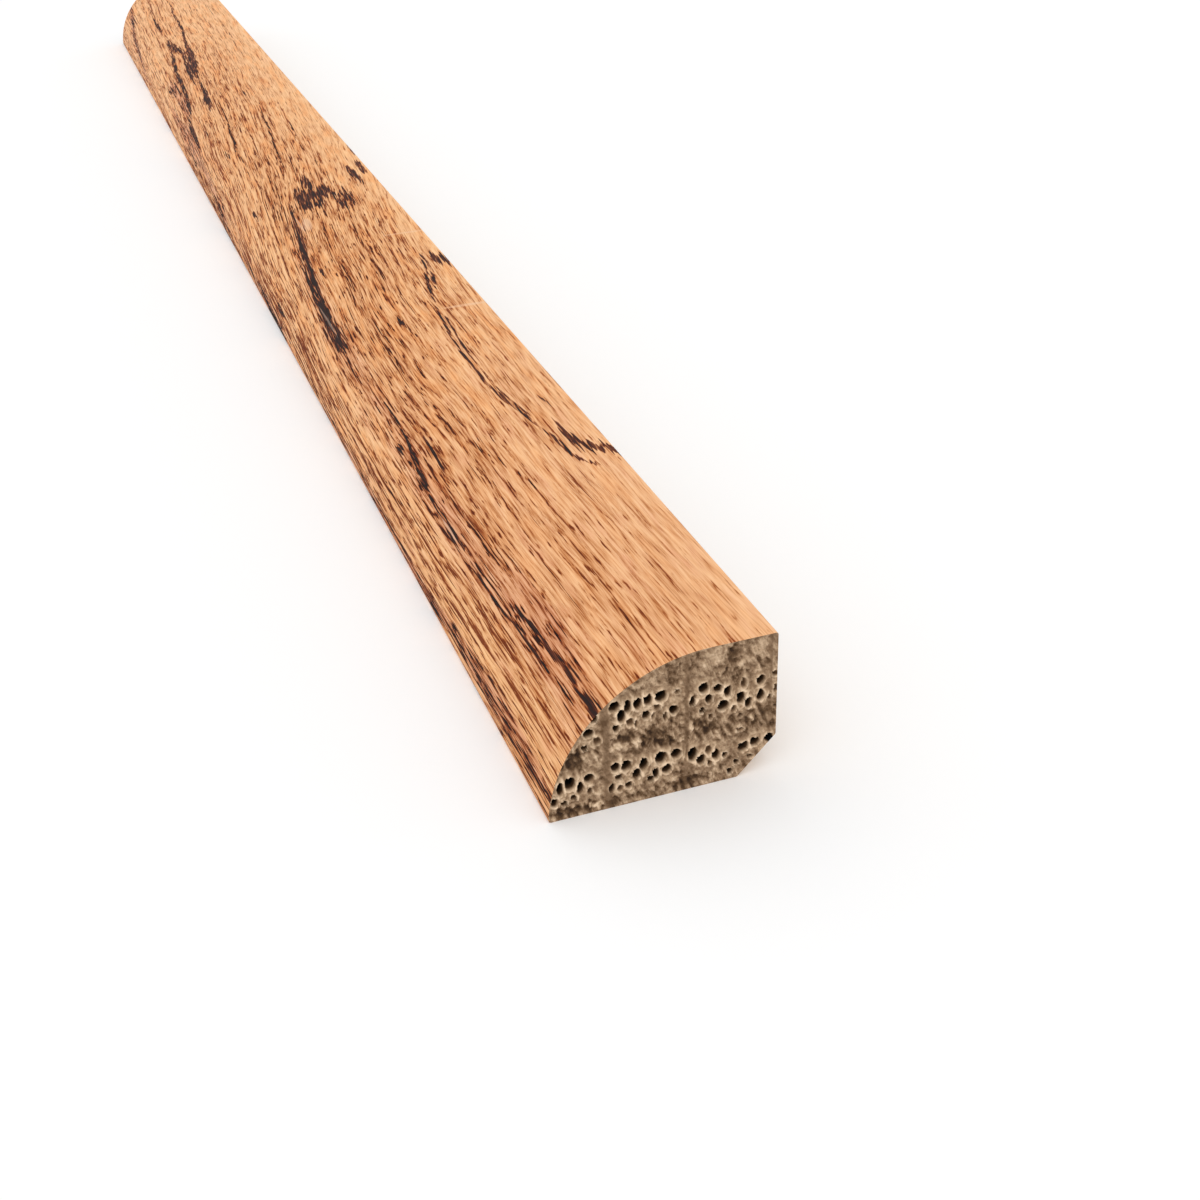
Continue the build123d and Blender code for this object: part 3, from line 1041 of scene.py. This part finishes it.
def near_vessels():
    """Vessels of the near end, each with its depth in mm."""
    vessels = []
    for group, depth in ((OPEN_VESSELS, OPEN_DEPTH), (SHALLOW_VESSELS, SHALLOW_DEPTH)):
        for across, up, half_width, half_height in group:
            vessels.append((across, up, half_width * VESSEL_SIZE, half_height * VESSEL_SIZE, depth / MM))
    return vessels


def far_vessels():
    """Vessels of the far end: the same growth rings, cut elsewhere along the stock."""
    chance = random.Random(FAR_END_DRAW)
    moved = []
    for across, up, half_width, half_height in OPEN_VESSELS + SHALLOW_VESSELS:
        depth = OPEN_DEPTH if chance.random() < 0.7 else SHALLOW_DEPTH
        size = chance.uniform(0.75, 1.1)
        spot = (across + chance.uniform(-0.4, 0.4), up + chance.uniform(-0.15, 0.15))
        moved.append((*spot, half_width * size, half_height * size, depth / MM))
    return moved


def add_object(name, bm):
    """Turn a bmesh into an object of the scene."""
    mesh = bpy.data.meshes.new(name)
    bm.to_mesh(mesh)
    bm.free()
    piece = bpy.data.objects.new(name, mesh)
    bpy.context.collection.objects.link(piece)
    return piece


def stock():
    """The moulding: one closed strip with a rounded finished face and two sawn ends."""
    bm = bmesh.new()
    cut_face(bm)
    pull_to_length(bm)
    lay_out_grain(bm)
    for name in ("pore_depth", "end_tone", "end_tearing"):
        bm.verts.layers.float.new(name)
    carve_cut(bm, NEAR_Y, 1, near_vessels(), CUT_PATCHES, seed=0)
    far_patches = [(-across, up, wide, high, tone) for across, up, wide, high, tone in CUT_PATCHES]
    carve_cut(bm, FAR_Y, -1, far_vessels(), far_patches, seed=40)
    for face in bm.faces:
        face.smooth = True
    for edge in bm.edges:
        kinds = {face.material_index for face in edge.link_faces}
        edge.smooth = not (SAWN in kinds and len(kinds) > 1)
    return add_object("shoe_moulding_wood", bm)


def dress_stock():
    """Build the stock, give it its three finishes and tie it to the solid."""
    builders = {
        "face position": face_position_group, "pore ticks": pore_tick_group, "wood figure": figure_group,
        "stain stroke": stroke_group, "stain patch": patch_group,
    }
    groups = {name: build() for name, build in builders.items()}
    piece = stock()
    for finish in (finished_wood(groups), bare_wood(groups), end_grain()):
        piece.data.materials.append(finish)
    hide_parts("shoe_moulding")
    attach(piece, "root")


def camera():
    """The photograph's viewpoint."""
    data = bpy.data.cameras.new("camera")
    data.lens = LENS
    data.sensor_width = SENSOR_WIDTH
    data.clip_start = NEAREST_SEEN
    piece = bpy.data.objects.new("camera", data)
    to_right = CAMERA_LOOKS.cross(CAMERA_UP)
    turn = Matrix((to_right, CAMERA_UP, -CAMERA_LOOKS)).transposed().to_quaternion()
    piece.matrix_world = Matrix.LocRotScale(CAMERA_AT, turn, None)
    bpy.context.collection.objects.link(piece)
    bpy.context.scene.camera = piece


def pale_floor():
    """Plain pale floor just under the stock."""
    bm = bmesh.new()
    lowered = Matrix.Translation((0, 0, -FLOOR_GAP))
    bmesh.ops.create_grid(bm, x_segments=1, y_segments=1, size=FLOOR_REACH, matrix=lowered)
    floor = add_object("floor", bm)
    material, _, shader = new_material("floor")
    shader.inputs["Base Color"].default_value = (0.99, 0.99, 0.99, 1)
    shader.inputs["Roughness"].default_value = 0.9
    shader.inputs["Specular IOR Level"].default_value = 0.0
    floor.data.materials.append(material)


def surroundings():
    """White surroundings: plain white to the camera and in gloss, a little weaker as light."""
    world = bpy.data.worlds.new("studio")
    world.use_nodes = True
    bpy.context.scene.world = world
    tree = world.node_tree
    sky = tree.nodes["Background"]
    backdrop = tree.nodes.new("ShaderNodeBackground")
    for background, strength in ((sky, WORLD_LIGHT), (backdrop, 1.0)):
        background.inputs["Color"].default_value = (1, 1, 1, 1)
        background.inputs["Strength"].default_value = strength
    rays = tree.nodes.new("ShaderNodeLightPath").outputs
    seen = plus(tree, rays["Is Camera Ray"], rays["Is Glossy Ray"])
    seen = calc(tree, "ADD", seen, rays["Is Transmission Ray"], clamp=True)
    mixer = tree.nodes.new("ShaderNodeMixShader")
    for socket, link in zip(mixer.inputs, (seen, sky.outputs[0], backdrop.outputs[0])):
        tree.links.new(link, socket)
    tree.links.new(mixer.outputs[0], tree.nodes["World Output"].inputs["Surface"])


def lamps():
    """Soft lamps, each turned towards the stock."""
    for name, at, softness, power in LAMPS:
        light = bpy.data.lights.new(name, "SUN")
        light.angle = math.radians(softness)
        light.energy = power
        lamp = bpy.data.objects.new(name, light)
        turn = (-Vector(at)).to_track_quat("-Z", "Y")
        lamp.matrix_world = Matrix.Translation(at) @ turn.to_matrix().to_4x4()
        bpy.context.collection.objects.link(lamp)


dress_stock()
camera()
pale_floor()
surroundings()
lamps()
bpy.context.scene.view_settings.view_transform = "Standard"
